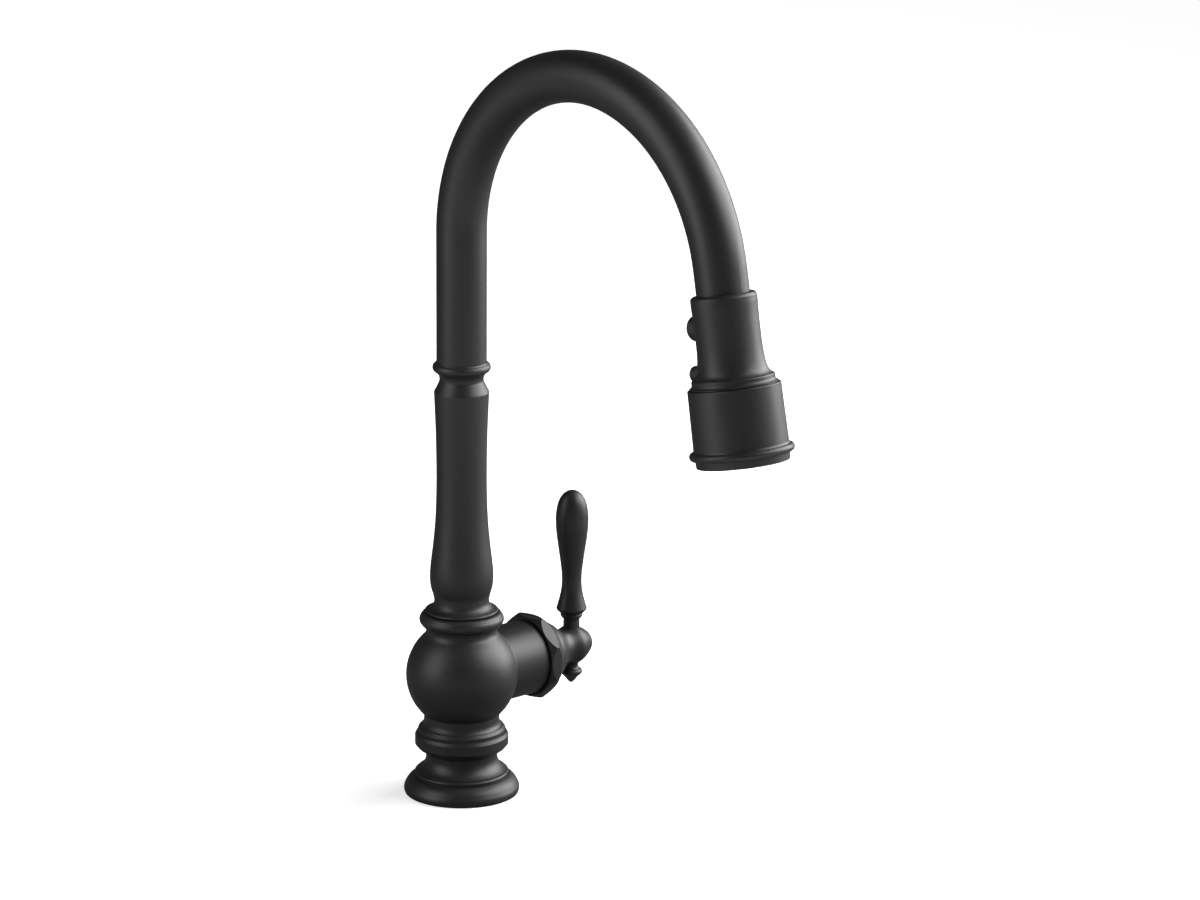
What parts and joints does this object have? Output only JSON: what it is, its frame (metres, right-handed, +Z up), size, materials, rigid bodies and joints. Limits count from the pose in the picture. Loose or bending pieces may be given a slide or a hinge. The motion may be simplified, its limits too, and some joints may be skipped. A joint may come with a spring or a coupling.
{
  "type": "pull down kitchen faucet",
  "caption": "Single-hole kitchen faucet: turned body, high swivelling arch, side lever valve, and a docking spray head on a hose that pulls down out of the spout",
  "frame": {"origin": "centre of the base on the deck plane, where the mounting shank enters the deck", "axes": "+Z up along the column; the spout points to -Y, towards the user; the lever handle is on +X"},
  "size_m": [0.1345, 0.2866, 0.5857],
  "materials": {
    "black_finish": "matte black powder coat",
    "brass": "machined",
    "steel": "brushed stainless",
    "rubber": "moulded",
    "nozzle_rubber": "soft grey silicone",
    "black_plastic": "satin moulded",
    "white_plastic": "moulded acetal",
    "ceramic": "lapped alumina",
    "magnet": "nickel-plated",
    "braid": "woven nylon braid",
    "copper": "drawn copper"
  },
  "bodies": {
    "faucet_base": {"body_casting": "black_finish", "base_gasket": "rubber", "top_bead_ring": "black_finish", "mounting_shank": "brass", "hot_pipe": "copper", "cold_pipe": "copper", "outlet_pipe": "copper", "inlet_fittings": "brass", "outlet_fitting": "brass", "swivel_post": "brass", "post_clip": "steel", "cartridge_base": "white_plastic", "cartridge_seals": "rubber", "cartridge_housing": "white_plastic", "fixed_disc": "ceramic", "retaining_ring": "steel", "bonnet_nut": "black_finish"},
    "spout": {"spout_bell": "black_finish", "column": "black_finish", "collar_ring": "black_finish", "spout_tube": "black_finish", "bearing_lower": "white_plastic", "bearing_upper": "white_plastic", "dock_liner": "black_plastic", "dock_magnet": "magnet", "spray_hose": "braid", "hose_coupling": "brass"},
    "valve_carrier": {"cartridge_carrier": "white_plastic", "pivot_pin": "steel"},
    "valve_disc": {"moving_disc": "ceramic"},
    "handle": {"lever_spindle": "steel", "handle_hub": "black_finish", "hub_setscrew": "steel", "lever_stem": "black_finish", "lever_ring": "black_finish", "lever_grip": "black_finish", "hub_finial": "black_finish"},
    "hose_end": {"hose_crimp_sleeve": "steel", "hose_swivel_ball": "brass"},
    "spray_head": {"head_shell": "black_finish", "head_step_ring": "black_finish", "head_core": "black_plastic", "head_magnet": "magnet", "cup_shell": "black_finish", "bead_ring": "black_finish", "face_lip": "black_finish", "spray_plate": "black_plastic", "spray_nozzles": "nozzle_rubber", "aerator_insert": "black_plastic", "button_collar_upper": "black_finish", "button_collar_lower": "black_finish"},
    "upper_button": {"button_upper": "black_finish"},
    "lower_button": {"button_lower": "black_finish"},
    "spool": {"diverter_spool": "white_plastic"}
  },
  "joints": [
    {"name": "spout_swivel", "type": "hinge", "parent": "faucet_base", "child": "spout", "pos_m": [0, 0, 0.1091], "axis": [0, 0, 1], "continuous": true},
    {"name": "handle_temperature", "type": "hinge", "parent": "faucet_base", "child": "valve_carrier", "pos_m": [0.057, 0, 0.0711], "axis": [1, 0, 0], "range_deg": [-45, 45]},
    {"name": "handle_flow", "type": "hinge", "parent": "valve_carrier", "child": "handle", "pos_m": [0.057, 0, 0.0711], "axis": [0, 1, 0], "range_deg": [0, 20]},
    {"name": "disc_slide", "type": "slide", "parent": "valve_carrier", "child": "valve_disc", "axis": [0, 0, 1], "range_m": [0, 0.0045]},
    {"name": "spray_pull", "type": "slide", "parent": "spout", "child": "hose_end", "axis": [0, -0.1891, -0.982], "range_m": [0, 0.45], "stiffness_N_per_m": 10, "springref_m": -0.9},
    {"name": "head_swivel", "type": "hinge", "parent": "hose_end", "child": "spray_head", "pos_m": [0, -0.21295, 0.31081], "axis": [0, -0.1891, -0.982], "continuous": true},
    {"name": "button_upper_press", "type": "slide", "parent": "spray_head", "child": "upper_button", "axis": [0, -0.982, 0.1891], "range_m": [0, 0.0018], "stiffness_N_per_m": 800, "springref_m": -0.002},
    {"name": "button_lower_press", "type": "slide", "parent": "spray_head", "child": "lower_button", "axis": [0, -0.982, 0.1891], "range_m": [0, 0.0018], "stiffness_N_per_m": 800, "springref_m": -0.002},
    {"name": "spool_slide", "type": "slide", "parent": "spray_head", "child": "spool", "axis": [0, 0.1891, 0.982], "range_m": [0, 0.003]}
  ],
  "couplings": [
    {"joint": "disc_slide", "follows": "handle_flow", "m_per_rad": 0.0125},
    {"joint": "spool_slide", "follows": "button_lower_press", "ratio": 1.6}
  ]
}
